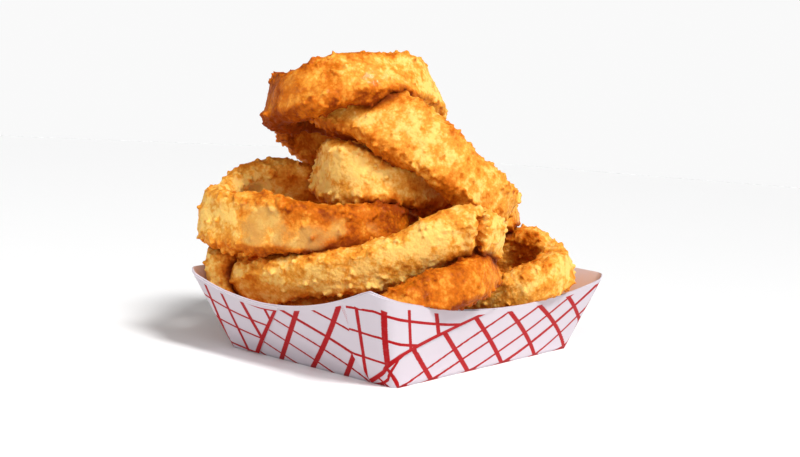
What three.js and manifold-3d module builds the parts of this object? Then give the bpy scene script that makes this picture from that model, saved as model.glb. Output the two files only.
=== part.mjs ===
// Side order of battered onion rings, piled in a folded paperboard food tray.
// Millimetres, +Z up. The origin is the middle of the tray's flat underside, and the tray is long along Y.
import * as THREE from "three";
import { mergeVertices } from "three/addons/utils/BufferGeometryUtils.js";
import Module from "manifold-3d";

const wasm = await Module();
wasm.setup();
const { Manifold, Mesh } = wasm;
const TAU = 2 * Math.PI;

// ---- Driving dimensions of the tray ----
const BASE_X = 95; // base panel, across
const BASE_Y = 133; // base panel, along
const FLARE_X = 8; // the long walls lean out by this much at the rim
const FLARE_Y = 21.5; // and the short walls by this much
const CORNER_HEIGHT = 36; // height of the rim at a corner
const BOARD = 0.6; // thickness of the paperboard
const BASE_RADIUS = 2.5; // corner radius of the base panel, in plan
const RIM_RADIUS = 6; // corner radius of the rim, in plan
const CORNER_SHARE = 0.06; // share of a wall's length that bends round the corner at each end
const FRONT_PEAK = 4.5; // the front corner stands this much higher than the others
const FRONT_SHIFT = 0.052; // and its peak lies this share back along the wall before it

// The walls anticlockwise seen from above, from the front corner (+X, -Y): +X, +Y, -X, -Y. sag: how far
// the rim dips in the middle of the wall; bow: how far it bulges out there; foot: where the free edge of
// the glued ear meets the base, as a share of the wall past the corner.
const WALLS = [
  { sag: 11, bow: -1.8, foot: -0.1 },
  { sag: -2, bow: -1.8, foot: 0.17 },
  { sag: -2, bow: -1.8, foot: -0.1 },
  { sag: 11, bow: -1.8, foot: 0.17 },
];
const EAR = 0.55; // what a glued ear adds to the outside of a wall
const EAR_REACH = 0.44; // share of the rim that an ear covers
const EAR_BLEND = 0.12; // share of the wall before the corner over which its sheet rises onto the next wall
const EAR_ROOT = -0.25; // an ear is rooted this deep in the board
const EAR_SPAN = [0.03, 0.985]; // the ears reach from this share of the wall's height to this
const WALL_ROWS = [0.5]; // heights at which the walls are divided, as shares of the wall
const WALL_STEPS = 8; // facets along the straight of a wall

// ---- Driving dimensions of the rings ----
const GAP = 0.35; // clearance left where two pieces touch
const OUTSIDE = 40; // rings that reach over the rim are cut level with it as far out as this
const HEAP_TURN = THREE.MathUtils.degToRad(38.6); // the heap's own frame is turned by this about Z
const RING_STEPS = 34; // facets round a ring
const SECTION_STEPS = 10; // facets round the band's section
const SQUARENESS = 2.6; // 2 is an elliptical section, more is squarer
const LUMPS = 0.9; // height of the batter's lumps
const CRUST = { color: 0xe2a04a, roughness: 0.75, metalness: 0 };
const PAPER = { color: 0xe6dfe6, roughness: 0.6, metalness: 0 };

// Each ring: at = its middle in the heap's frame (right, away, up); raise = degrees that its right end and
// its near side stand up; spin = degrees that its oval is turned; oval = the half lengths of the band's
// middle line; band = height and thickness; saddle and wave = [height, phase] of the two- and three-fold
// bends of that line; splay = degrees that the band opens outward at its top. They stand in the order in
// which they were laid.
const RINGS = {
  ring_back_left_floor: {
    at: [-17, 0, 12], raise: [12, -4], spin: -40, oval: [30, 24], band: [17, 12],
    saddle: [4, 80], splay: -10,
  },
  ring_back_floor: { at: [30, 33, 12], raise: [2, -10], spin: 0, oval: [24, 22], band: [17, 12] },
  ring_under_front: { at: [3, -50, 32], raise: [26, 4], spin: 35, oval: [33, 24], band: [17, 12] },
  ring_corner_left: {
    at: [-52, -14, 31], raise: [-17, -37], spin: 15, oval: [35, 22], band: [17, 12],
    saddle: [5, 270], wave: [3, 150], splay: 25,
  },
  ring_right: {
    at: [44, 11, 36], raise: [16, -16], spin: 0, oval: [27, 23], band: [19, 13],
    wave: [2, 200], splay: -5,
  },
  ring_back_right: {
    at: [20, 31, 22], raise: [2, -17], spin: -5, oval: [46, 36], band: [17, 12], saddle: [4, 40],
  },
  ring_front: {
    at: [-21, -33, 42.5], raise: [14.5, 9], spin: -15, oval: [57, 24], band: [20, 12],
    wave: [2.5, 245], splay: 25,
  },
  ring_back: {
    at: [-18, 38, 43], raise: [-13, -8], spin: -20, oval: [38, 22], band: [17, 12], saddle: [4, 170],
  },
  ring_corner_right: {
    at: [20, 38, 58], raise: [13, -12], spin: 5, oval: [26, 23], band: [17, 12],
    saddle: [3, 300], splay: -10,
  },
  ring_left: {
    at: [-49, -22, 62.5], raise: [-1, -14], spin: -10, oval: [41, 30], band: [24, 12],
    saddle: [3, 200], splay: -15,
  },
  ring_middle: { at: [-15, -3, 80], raise: [-2, 0], spin: -20, oval: [25, 30], band: [26, 12], splay: -5 },
  ring_leaning: {
    at: [-11, 3, 91], raise: [-25, 14], spin: -20, oval: [56, 38], band: [26, 12],
    saddle: [6, 140], wave: [3, 230], splay: -5,
  },
  ring_top: {
    at: [-31, -6, 114], raise: [9, 14], spin: 35, oval: [35, 27], band: [24, 12],
    saddle: [2.5, 200], splay: -15,
  },
};

// ---- Helpers ----
function random(seed) {
  let state = seed >>> 0;
  return () => {
    state = (state + 0x6d2b79f5) >>> 0;
    let t = Math.imul(state ^ (state >>> 15), 1 | state);
    t = (t + Math.imul(t ^ (t >>> 7), 61 | t)) ^ t;
    return ((t ^ (t >>> 14)) >>> 0) / 4294967296;
  };
}

// A closed solid from loops of equal, even length: each loop joins the next, and the last joins the first
// when wrapped; otherwise both ends are closed by a strip across the loop.
function loft(loops, wrapped) {
  const count = loops[0].length;
  const points = loops.flat();
  const faces = [];
  const bands = wrapped ? loops.length : loops.length - 1;
  for (let i = 0; i < bands; i++) {
    const here = i * count;
    const next = ((i + 1) % loops.length) * count;
    for (let j = 0; j < count; j++) {
      const k = (j + 1) % count;
      faces.push(here + j, here + k, next + k, here + j, next + k, next + j);
    }
  }
  if (!wrapped) {
    const last = (loops.length - 1) * count;
    for (let j = 0; j < count / 2 - 1; j++) {
      const across = count - 1 - j;
      faces.push(j + 1, j, across, j + 1, across, across - 1);
      faces.push(last + j, last + j + 1, last + across, last + j + 1, last + across - 1, last + across);
    }
  }
  return new Manifold(new Mesh({
    numProp: 3,
    vertProperties: new Float32Array(points.flatMap((p) => [p.x, p.y, p.z])),
    triVerts: new Uint32Array(faces),
  }));
}

function largestBody(solid) {
  const bodies = solid.decompose();
  return bodies.reduce((best, body) => (body.volume() > best.volume() ? body : best));
}

function namedMesh(name, solid, finish) {
  const { vertProperties, triVerts } = solid.getMesh();
  const geometry = new THREE.BufferGeometry();
  geometry.setAttribute("position", new THREE.BufferAttribute(new Float32Array(vertProperties), 3));
  geometry.setIndex(new THREE.BufferAttribute(new Uint32Array(triVerts), 1));
  const merged = mergeVertices(geometry, 1e-4);
  merged.computeVertexNormals();
  const mesh = new THREE.Mesh(merged, new THREE.MeshStandardMaterial(finish));
  mesh.name = name;
  return mesh;
}

// ---- The tray ----
// Places along the walls are counted in walls: 0 is the front corner, 1 the next corner, and so on to 4.
function outline(halfX, halfY, radius, place) {
  const wall = Math.floor(place);
  const share = place - wall;
  const corner = (k) => new THREE.Vector2(
    (k & 3) < 2 ? halfX - radius : radius - halfX,
    ((k + 1) & 3) < 2 ? radius - halfY : halfY - radius,
  );
  const onArc = (k, turn) => {
    const angle = (k - 0.5 + turn / 2) * (Math.PI / 2);
    return corner(k).add(new THREE.Vector2(Math.cos(angle), Math.sin(angle)).multiplyScalar(radius));
  };
  if (share < CORNER_SHARE) return onArc(wall, share / CORNER_SHARE);
  if (share > 1 - CORNER_SHARE) return onArc(wall + 1, (share - 1) / CORNER_SHARE);
  const along = (share - CORNER_SHARE) / (1 - 2 * CORNER_SHARE);
  return onArc(wall, 1).lerp(onArc(wall + 1, -1), along);
}

function rimHeight(place) {
  const shifted = place + FRONT_SHIFT >= 4 ? place - 4 : place;
  const wall = shifted < 0 ? 0 : Math.floor(shifted);
  const from = wall === 0 ? -FRONT_SHIFT : wall;
  const to = wall === 3 ? 4 - FRONT_SHIFT : wall + 1;
  const share = (shifted - from) / (to - from);
  const start = wall === 0 ? FRONT_PEAK : 0;
  const end = wall === 3 ? FRONT_PEAK : 0;
  return CORNER_HEIGHT + THREE.MathUtils.lerp(start, end, share) - WALLS[wall].sag * 4 * share * (1 - share);
}

function onWall(place, rise) {
  const at = ((place % 4) + 4) % 4;
  const wall = Math.floor(at);
  const share = at - wall;
  const foot = outline(BASE_X / 2, BASE_Y / 2, BASE_RADIUS, at);
  const rim = outline(BASE_X / 2 + FLARE_X, BASE_Y / 2 + FLARE_Y, RIM_RADIUS, at);
  const facing = wall * (Math.PI / 2);
  const bow = WALLS[wall].bow * 4 * share * (1 - share);
  rim.add(new THREE.Vector2(Math.cos(facing), Math.sin(facing)).multiplyScalar(bow));
  const flat = foot.lerp(rim, rise);
  return new THREE.Vector3(flat.x, flat.y, rimHeight(at) * rise);
}

// A point of the wall, moved off its outer face by out.
function offWall(place, rise, out) {
  const step = 1e-3;
  const along = onWall(place + step, rise).sub(onWall(place - step, rise));
  const up = onWall(place, Math.min(rise + step, 1)).sub(onWall(place, Math.max(rise - step, 0)));
  return onWall(place, rise).addScaledVector(along.cross(up).normalize(), out);
}

function trayPlaces() {
  const places = [];
  for (let wall = 0; wall < 4; wall++) {
    places.push(wall, wall + CORNER_SHARE / 2);
    for (let i = 0; i <= WALL_STEPS; i++) {
      places.push(wall + CORNER_SHARE + (i / WALL_STEPS) * (1 - 2 * CORNER_SHARE));
    }
    places.push(wall + 1 - CORNER_SHARE / 2);
  }
  return places;
}

function trayShell() {
  const places = trayPlaces();
  const ring = (rise, out) => places.map((place) => offWall(place, rise, out));
  const foot = ring(0, -BOARD).map((point) => point.setZ(BOARD));
  const outer = [0, ...WALL_ROWS, 1].map((rise) => ring(rise, 0));
  const inner = [1, ...WALL_ROWS.toReversed()].map((rise) => ring(rise, -BOARD));
  return loft([...outer, ...inner, foot], false);
}

// The ear is the end of one wall's sheet, wrapped round the corner and glued to the outside of the next wall.
// It shares the wall's facets, and its rows lie where its slanting free edge crosses them.
function ear(wall) {
  const { foot } = WALLS[wall];
  const [low, high] = EAR_SPAN;
  const start = Math.min(0, foot) - EAR_BLEND;
  const columns = trayPlaces()
    .flatMap((place) => [place - wall - 4, place - wall])
    .filter((place) => place > start && place < EAR_REACH)
    .sort((left, right) => left - right);
  const rows = columns
    .map((column) => (column - foot) / (EAR_REACH - foot))
    .filter((rise) => rise > low + 0.01 && rise < high - 0.01);
  rows.unshift(low);
  rows.push(high);
  columns.unshift(start);
  columns.push(EAR_REACH);
  const layer = (outer) => rows.map((rise) => {
    const edge = foot + (EAR_REACH - foot) * rise;
    return columns.map((column) => {
      const place = Math.min(column, edge);
      const swell = THREE.MathUtils.smoothstep(place, start, start + EAR_BLEND);
      return offWall(wall + place, rise, outer ? EAR_ROOT + (EAR - EAR_ROOT) * swell : 1.5 * EAR_ROOT);
    });
  });
  const inner = layer(false);
  return loft(layer(true).map((row, j) => [...row, ...inner[j].reverse()]), false);
}

function buildTray() {
  let solid = trayShell();
  for (let wall = 0; wall < 4; wall++) solid = solid.add(ear(wall));
  return solid;
}

// What is cut off the rings: the board with its clearance, and all that lies outside it below the rim.
function trayClearance() {
  const places = trayPlaces();
  const ring = (rise, out, lift) => places.map((place) => {
    const point = offWall(place, rise, out);
    return point.setZ(point.z + lift);
  });
  const inside = -(BOARD + GAP);
  const foot = ring(0, inside, 0).map((point) => point.setZ(BOARD + GAP));
  const inner = WALL_ROWS.toReversed().map((rise) => ring(rise, inside, 0));
  return loft([ring(0, OUTSIDE, 0), ring(1, OUTSIDE, GAP), ring(1, inside, GAP), ...inner, foot], false);
}

// ---- The rings ----
// The batter's relief: a few long waves and many short ones, as a height over the angles round the ring and
// round the section.
function batterRelief(seed) {
  const draw = random(seed);
  const waves = [];
  for (let i = 0; i < 14; i++) {
    const fine = i / 13;
    waves.push({
      round: Math.round(2 + 12 * fine * draw() + 2 * draw()),
      section: Math.round(4 * draw() * (0.3 + fine)) * (draw() < 0.5 ? -1 : 1),
      phase: TAU * draw(),
      height: LUMPS * (0.5 - 0.22 * fine),
    });
  }
  return (round, section) => waves.reduce(
    (sum, w) => sum + w.height * Math.cos(w.round * round + w.section * section + w.phase), 0);
}

function buildRing(spec, seed, grow) {
  const [a, b] = spec.oval;
  const [bandHeight, bandThick] = spec.band;
  const [saddle, saddlePhase] = spec.saddle ?? [0, 0];
  const [wave, wavePhase] = spec.wave ?? [0, 0];
  const rad = THREE.MathUtils.degToRad;
  const splay = rad(spec.splay ?? 0);
  const relief = batterRelief(seed);
  const middle = (t) => new THREE.Vector3(
    a * Math.cos(t),
    b * Math.sin(t),
    saddle * Math.cos(2 * t - rad(saddlePhase)) + wave * Math.cos(3 * t - rad(wavePhase)),
  );
  const turn = new THREE.Matrix4().makeRotationZ(HEAP_TURN)
    .multiply(new THREE.Matrix4().makeTranslation(...spec.at))
    .multiply(new THREE.Matrix4().makeRotationX(-rad(spec.raise[1])))
    .multiply(new THREE.Matrix4().makeRotationY(-rad(spec.raise[0])))
    .multiply(new THREE.Matrix4().makeRotationZ(rad(spec.spin)));
  const squared = (value) => Math.sign(value) * Math.abs(value) ** (2 / SQUARENESS);
  const loops = [];
  for (let i = 0; i < RING_STEPS; i++) {
    const t = (TAU * i) / RING_STEPS;
    const tangent = middle(t + 0.01).sub(middle(t - 0.01)).normalize();
    const out = tangent.clone().cross(new THREE.Vector3(0, 0, 1)).normalize();
    const up = out.clone().cross(tangent);
    const leanOut = out.clone().multiplyScalar(Math.cos(splay)).addScaledVector(up, -Math.sin(splay));
    const leanUp = up.clone().multiplyScalar(Math.cos(splay)).addScaledVector(out, Math.sin(splay));
    const loop = [];
    for (let j = 0; j < SECTION_STEPS; j++) {
      const s = -(TAU * j) / SECTION_STEPS;
      const bump = relief(t, s) + grow;
      const across = squared(Math.cos(s)) * (bandThick / 2 + bump);
      const high = squared(Math.sin(s)) * (bandHeight / 2 + bump);
      loop.push(middle(t).addScaledVector(leanOut, across).addScaledVector(leanUp, high).applyMatrix4(turn));
    }
    loops.push(loop);
  }
  return loft(loops, true);
}

// ---- Assembly ----
const part = new THREE.Group();
part.add(namedMesh("paper_tray", buildTray(), PAPER));

const trayCutter = trayClearance();
const laid = [];
Object.entries(RINGS).forEach(([name, spec], index) => {
  const seed = 101 + 7 * index;
  const cutters = [trayCutter, ...laid];
  const solid = cutters.reduce((body, cutter) => body.subtract(cutter), buildRing(spec, seed, 0));
  laid.push(buildRing(spec, seed, GAP));
  part.add(namedMesh(name, largestBody(solid), CRUST));
});

export default part;
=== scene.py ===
"""Side order of battered and fried onion rings, heaped in a folded paper tray with a red plaid print.

A Blender add-on that is run as a script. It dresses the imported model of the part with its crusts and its
print, and puts it on a stage.
"""

import math

import bmesh
import bpy
import numpy as np
from mathutils import Matrix, Vector
from mathutils.bvhtree import BVHTree


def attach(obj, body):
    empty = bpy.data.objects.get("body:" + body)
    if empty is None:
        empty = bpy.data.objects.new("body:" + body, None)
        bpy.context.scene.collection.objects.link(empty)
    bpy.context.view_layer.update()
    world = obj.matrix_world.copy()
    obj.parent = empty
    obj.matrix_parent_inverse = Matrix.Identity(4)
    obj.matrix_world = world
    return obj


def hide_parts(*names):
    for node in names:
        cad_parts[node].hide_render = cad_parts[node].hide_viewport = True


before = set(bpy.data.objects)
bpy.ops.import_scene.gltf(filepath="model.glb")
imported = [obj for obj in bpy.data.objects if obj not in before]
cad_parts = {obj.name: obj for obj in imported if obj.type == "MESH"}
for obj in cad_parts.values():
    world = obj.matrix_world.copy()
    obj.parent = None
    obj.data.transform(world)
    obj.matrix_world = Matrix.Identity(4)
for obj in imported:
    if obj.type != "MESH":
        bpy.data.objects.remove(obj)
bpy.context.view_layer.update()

bl_info = {
    "name": "Onion Rings Side",
    "version": (1, 0, 0),
    "blender": (4, 5, 0),
    "location": "3D View > Sidebar > Onion Rings",
    "description": "Battered onion rings heaped in a plaid paper tray, on a plain stage",
    "category": "Object",
}

MM = 0.001
TAU = 2 * math.pi
HEAP_TURN = math.radians(38.6)  # from -Y towards +X to the heap's front, about where the front corner points


def srgb(red, green, blue):
    """A colour given in screen values from 0 to 255, as Blender's linear colour."""
    def linear(value):
        share = value / 255
        return share / 12.92 if share <= 0.04045 else ((share + 0.055) / 1.055) ** 2.4
    return linear(red), linear(green), linear(blue)


# ---- Kinds of settings ----
def length_setting(name, description, default):
    """A size, given in metres."""
    return bpy.props.FloatProperty(
        name=name, description=description, default=default, precision=5, unit="LENGTH")


def angle_setting(name, description, default):
    """An angle, given in radians."""
    return bpy.props.FloatProperty(name=name, description=description, default=default, subtype="ANGLE")


def colour_setting(name, description, default):
    """A colour, given in Blender's linear values."""
    return bpy.props.FloatVectorProperty(
        name=name, description=description, default=default, subtype="COLOR")


# ---- Numbers over arrays of points ----
def smooth_step(low, high, value):
    """Changes smoothly from 0 where the value is at low to 1 where it's at high."""
    share = np.clip((value - low) / (high - low), 0, 1)
    return share * share * (3 - 2 * share)


class SpaceNoise:
    """Smooth noise over space, from about -1 to 1. It's the same for the same seed."""

    SIZE = 256  # how many slopes it draws
    GAIN = 1.6  # brings its values to about -1 to 1

    def __init__(self, seed):
        draw = np.random.default_rng(seed)
        self.order = draw.permutation(self.SIZE)
        slopes = draw.normal(size=(self.SIZE, 3))
        self.slopes = slopes / np.linalg.norm(slopes, axis=1, keepdims=True)

    def __call__(self, points, width, shift=0):
        """The noise at the points, with lumps of that width; shift picks another part of it."""
        place = points / width + shift
        cell = np.floor(place).astype(int)
        inside = place - cell
        fade = inside**3 * (inside * (inside * 6 - 15) + 10)
        total = np.zeros(len(points))
        wrap = self.SIZE - 1
        for corner in np.ndindex(2, 2, 2):
            at = (cell + corner) & wrap
            key = self.order[at[:, 0]]
            key = self.order[(key + at[:, 1]) & wrap]
            key = self.order[(key + at[:, 2]) & wrap]
            slope = (self.slopes[key] * (inside - corner)).sum(1)
            total += slope * np.where(corner, fade, 1 - fade).prod(1)
        return total * self.GAIN


def read_points(mesh):
    """The mesh's points, one a row."""
    points = np.empty(len(mesh.vertices) * 3, np.float32)
    mesh.vertices.foreach_get("co", points)
    return points.reshape(-1, 3).astype(float)


def read_normals(mesh):
    """The outward direction at each point of the mesh."""
    normals = np.empty(len(mesh.vertices) * 3, np.float32)
    mesh.vertex_normals.foreach_get("vector", normals)
    return normals.reshape(-1, 3).astype(float)


def write_points(mesh, points):
    """Moves the mesh's points to new places."""
    mesh.vertices.foreach_set("co", points.astype(np.float32).ravel())
    mesh.update()


def write_value(mesh, name, values):
    """Keeps one number for each point of the mesh, for its material to read."""
    attribute = mesh.attributes.new(name, "FLOAT", "POINT")
    attribute.data.foreach_set("value", values.astype(np.float32))


def add_object(name, data):
    """Puts a new object with that data into the scene."""
    added = bpy.data.objects.new(name, data)
    bpy.context.scene.collection.objects.link(added)
    return added


def add_piece(name, mesh, nodes):
    """Shows a finished mesh as a piece that stands for the CAD nodes."""
    mesh.name = name
    for polygon in mesh.polygons:
        polygon.use_smooth = True
    piece = add_object(name, mesh)
    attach(piece, "root")
    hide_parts(*nodes)


# ---- Materials ----
class Wire:
    """One output of a node, for use in Python arithmetic, where each operation adds a Math node."""

    def __init__(self, paint, socket):
        self.paint = paint
        self.socket = socket

    def math(self, operation, *values):
        return self.paint.node("ShaderNodeMath", {"operation": operation}, dict(enumerate(values)))

    def __add__(self, other):
        return self.math("ADD", self, other)

    __radd__ = __add__

    def __sub__(self, other):
        return self.math("SUBTRACT", self, other)

    def __rsub__(self, other):
        return self.math("SUBTRACT", other, self)

    def __mul__(self, other):
        return self.math("MULTIPLY", self, other)

    __rmul__ = __mul__

    def __abs__(self):
        return self.math("ABSOLUTE", self)

    def at_least(self, other):
        return self.math("MAXIMUM", self, other)

    def step(self, low, high):
        """Rises smoothly from 0 at low to 1 at high."""
        ends = {"Value": self, "From Min": low, "From Max": high}
        return self.paint.node("ShaderNodeMapRange", {"interpolation_type": "SMOOTHSTEP"}, ends)


class Paint:
    """A material that is built node by node."""

    def __init__(self, name):
        self.material = bpy.data.materials.new(name)
        self.material.use_nodes = True
        self.tree = self.material.node_tree
        self.tree.nodes.clear()

    def node(self, kind, settings=None, inputs=None, output=0):
        """Adds a node: first its settings, then its inputs by name or place. Gives one of its outputs."""
        made = self.tree.nodes.new(kind)
        for key, value in (settings or {}).items():
            setattr(made, key, value)
        sockets = [socket for socket in made.inputs if socket.enabled]
        for key, value in (inputs or {}).items():
            socket = sockets[key] if isinstance(key, int) else next(s for s in sockets if s.name == key)
            if isinstance(value, Wire):
                self.tree.links.new(value.socket, socket)
            else:
                socket.default_value = value
        outputs = [socket for socket in made.outputs if socket.enabled]
        found = outputs[output] if isinstance(output, int) else next(s for s in outputs if s.name == output)
        return Wire(self, found)

    def value(self, name):
        """A number that the mesh keeps for each of its points."""
        return self.node("ShaderNodeAttribute", {"attribute_name": name}, output="Fac")

    def noise(self, size, detail=3.0, shift=0.0):
        """Noise from about 0 to 1, with features of that size in metres; shift picks another part of it."""
        place = self.node("ShaderNodeTexCoord", output="Object")
        moved = self.node("ShaderNodeVectorMath", {"operation": "ADD"}, {0: place, 1: (shift, shift, shift)})
        return self.node("ShaderNodeTexNoise", None, {"Vector": moved, "Scale": 1 / size, "Detail": detail})

    def blend(self, factor, first, second):
        """The first colour where the factor is 0 and the second where it's 1."""
        colours = {"Factor": factor, "A": self.colour(first), "B": self.colour(second)}
        return self.node("ShaderNodeMix", {"data_type": "RGBA"}, colours)

    def colour(self, value):
        """What a colour socket takes: a wire as it is, and three numbers with full cover added."""
        return value if isinstance(value, Wire) else (*value, 1)

    def bump(self, height, strength, distance):
        """Normals that follow the height, as if it stood up by the distance in metres."""
        inputs = {"Height": height, "Strength": strength, "Distance": distance}
        return self.node("ShaderNodeBump", None, inputs)

    def finish(self, **inputs):
        """Closes the material with the Principled shader; a socket's spaces are written as underscores."""
        named = {key.replace("_", " "): value for key, value in inputs.items()}
        shader = self.node("ShaderNodeBsdfPrincipled", None, named, output="BSDF")
        output = self.tree.nodes.new("ShaderNodeOutputMaterial")
        self.tree.links.new(shader.socket, output.inputs["Surface"])
        return self.material


# ---- The paper tray ----
# Places along the walls are counted in walls, anticlockwise seen from above: 0 is the front corner, between
# the +X and the -Y wall, 1 the next corner, and so on. Rise is a share of the wall's height.
CORNER_SHARE = 0.06  # share of a wall's length that bends round the corner at each end
FRONT_PEAK = 4.5 * MM  # the front corner stands this much higher than the others
FRONT_SHIFT = 0.03  # and its peak lies this share back along the wall before it
WALL_SAGS = np.array([11, -2, -2, 11]) * MM  # how far the rim dips in the middle of each wall, or rises
WALL_BOW = -1.8 * MM  # how far the walls' rims bow out in the middle: they bow in
# Each ear's free edge runs from the base to the rim, at these places past the corner that it wraps round.
EAR_FEET = (-0.155, 0.213, -0.155, 0.213)
EAR_REACHES = (0.44, 0.53, 0.44, 0.53)
BEND_STEPS = 8  # columns of the walls' grid of points in half of a corner's bend
WALL_STEP = 0.013  # gap of its columns elsewhere, in walls
RISE_STEP = 0.05  # gap of its rows, in rises
RIM_ROUND = 0.12 * MM  # how far the cut rim is rounded up
# The inside's warm tint is partly fat and partly painted bounce light and shade from the rings.
SOAKED_AND_BOUNCE_LIT = (1.6, 0.3)  # warm tint inside, full below the second rise and less towards the first
WAVES_SEED = 5
LONG_WAVES = (28 * MM, 0)  # width of the board's waves, and which part of the noise makes them
SHORT_WAVES = (11 * MM, 40)
SHORT_WAVES_SHARE = 0.3  # their height as a share of the long waves'
BEFORE_END = 0.999  # keeps a place on the last wall, short of the front corner


class TraySettings(bpy.types.PropertyGroup):
    """Sizes and colours of the folded paper tray."""

    base_width: length_setting("Base width", "Width of the base panel", 95 * MM)
    base_length: length_setting("Base length", "Length of the base panel", 133 * MM)
    flare_width: length_setting("Side flare", "How far the long walls lean out at the rim", 8 * MM)
    flare_length: length_setting("End flare", "How far the short walls lean out at the rim", 21.5 * MM)
    corner_height: length_setting("Corner height", "Height of the rim at a corner", 36 * MM)
    board: length_setting("Board", "Thickness of the paperboard", 0.6 * MM)
    base_radius: length_setting("Base radius", "Corner radius of the base panel", 2.5 * MM)
    rim_radius: length_setting("Rim radius", "Corner radius of the rim", 6 * MM)
    front_radius: length_setting("Front radius", "Corner radius of the rim at the front corner", 11 * MM)
    ripple: length_setting("Ripple", "How far the board waves in and out", 0.3 * MM)
    margin: length_setting("Margin", "Height of the unprinted strip below the rim", 2.2 * MM)
    paper: colour_setting("Paper", "Colour of the board", srgb(206, 197, 204))
    ink: colour_setting("Ink", "Colour of the print", srgb(168, 0, 8))
    # partly fat, partly painted warm bounce light and shade from the rings on the inside
    grease_and_bounce_light: colour_setting("Grease", "Colour of the inside where fat has soaked in", srgb(232, 168, 112))


def bulge(share):
    """A bow over a wall's length, 0 at its ends and 1 in its middle."""
    return 4 * share * (1 - share)


def outline(half_width, half_length, radii, place):
    """Points of a rectangle with four rounded corners at the places along the walls."""
    wall = np.floor(place).astype(int)
    share = place - wall

    def on_arc(corner, turn):
        right = np.isin(corner % 4, (0, 1))
        back = np.isin(corner % 4, (1, 2))
        angle = (corner - 0.5 + turn / 2) * (math.pi / 2)
        radius = np.asarray(radii)[corner % 4]
        across = np.where(right, 1, -1) * (half_width - radius) + radius * np.cos(angle)
        along = np.where(back, 1, -1) * (half_length - radius) + radius * np.sin(angle)
        return np.stack([across, along], -1)

    first = on_arc(wall, np.minimum(share / CORNER_SHARE, 1))
    second = on_arc(wall + 1, np.maximum((share - 1) / CORNER_SHARE, -1))
    blend = np.clip((share - CORNER_SHARE) / (1 - 2 * CORNER_SHARE), 0, 1)[..., None]
    return first * (1 - blend) + second * blend


def rim_height(tray, place):
    """Height of the rim at the places along the walls."""
    shifted = np.where(place + FRONT_SHIFT >= 4, place - 4, place)
    wall = np.clip(np.floor(shifted), 0, 3).astype(int)
    begin = np.where(wall == 0, -FRONT_SHIFT, wall)
    end = np.where(wall == 3, 4 - FRONT_SHIFT, wall + 1)
    share = (shifted - begin) / (end - begin)
    peak = FRONT_PEAK * ((wall == 0) * (1 - share) + (wall == 3) * share)
    return tray.corner_height + peak - WALL_SAGS[wall] * bulge(share)


def on_wall(tray, place, rise):
    """Points of the walls' outer face."""
    at = np.mod(place, 4)
    wall = np.floor(at).astype(int)
    share = at - wall
    half_width, half_length = tray.base_width / 2, tray.base_length / 2
    foot = outline(half_width, half_length, [tray.base_radius] * 4, at)
    radii = [tray.front_radius] + [tray.rim_radius] * 3
    rim = outline(half_width + tray.flare_width, half_length + tray.flare_length, radii, at)
    facing = wall * (math.pi / 2)
    bow = (WALL_BOW * bulge(share))[..., None]
    rim = rim + np.stack([np.cos(facing), np.sin(facing)], -1) * bow
    flat = foot + (rim - foot) * rise[..., None]
    return np.concatenate([flat, (rim_height(tray, at) * rise)[..., None]], -1)


def wall_slopes(tray, place, rise):
    """How the wall's points move with the place and with the rise."""
    step = 1e-3
    along = (on_wall(tray, place + step, rise) - on_wall(tray, place - step, rise)) / (2 * step)
    low, high = np.maximum(rise - step, 0), np.minimum(rise + step, 1)
    up = (on_wall(tray, place, high) - on_wall(tray, place, low)) / (high - low)[..., None]
    return along, up


def off_wall(tray, place, rise, out):
    """Points moved off the walls' outer face by out."""
    along, up = wall_slopes(tray, place, rise)
    normal = np.cross(along, up)
    normal /= np.linalg.norm(normal, axis=-1, keepdims=True)
    return on_wall(tray, place, rise) + normal * np.asarray(out)[..., None]


def between(lines, value):
    """How many of the rising lines lie below each value, in between for a value between two lines."""
    past = (value[..., None] - lines[..., :-1]) / np.diff(lines, axis=-1)
    whole = np.clip(past, 0, 1)
    whole[..., 0] = np.minimum(past[..., 0], 1)
    last = past.shape[-1] - 1
    whole[..., last] = np.maximum(past[..., last], 0)
    return whole.sum(-1)


class Lines:
    """A family of printed lines, numbered from first. Each runs from a place at rise 0 to one at rise 1."""

    def __init__(self, low, high, halves, first=0, curve=1.0):
        self.low = np.array(low)
        self.high = np.array(high)
        self.halves = np.array(halves) * MM
        self.first = first
        self.curve = curve

    def count(self, place, rise):
        """The number of the line at each point, in between for points between two lines."""
        bent = rise**self.curve
        return self.first + between(self.low + (self.high - self.low) * bent[..., None], place)

    def half(self, number):
        """Half the width of the line that is nearest."""
        nearest = np.clip(np.round(number - self.first), 0, len(self.halves) - 1).astype(int)
        return self.halves[nearest]


class FlatLines(Lines):
    """Lines that run along a wall: each is given by its rise at several places."""

    def __init__(self, places, rises, halves, first=0):
        super().__init__(rises[0], rises[-1], halves, first)
        self.places = places
        self.rises = np.array(rises).T

    def count(self, place, rise):
        lines = np.stack([np.interp(place, self.places, rises) for rises in self.rises], -1)
        return self.first + between(lines, rise)


THICK, MEDIUM, THIN, NONE = 1.12, 0.85, 0.58, 0.01  # half widths of the printed lines, in millimetres

# The print on a short wall, by places from the wall's start.
END_STEEP = Lines(
    low=(-0.1, 0.05, 0.213, 0.345, 0.527, 0.71, 0.9), high=(0.12, 0.31, 0.53, 0.63, 0.845, 0.993, 1.15),
    halves=(THICK, THICK, NONE, THICK, THICK, THICK, NONE))
END_SHALLOW = Lines(
    low=(0.25, 0.436, 0.642, 0.84, 0.97, 1.136, 1.307), high=(-0.3, -0.11, 0.148, 0.34, 0.5, 0.668, 0.807),
    halves=(THIN, THIN, THIN, THIN, MEDIUM, THIN, THIN))
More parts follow.
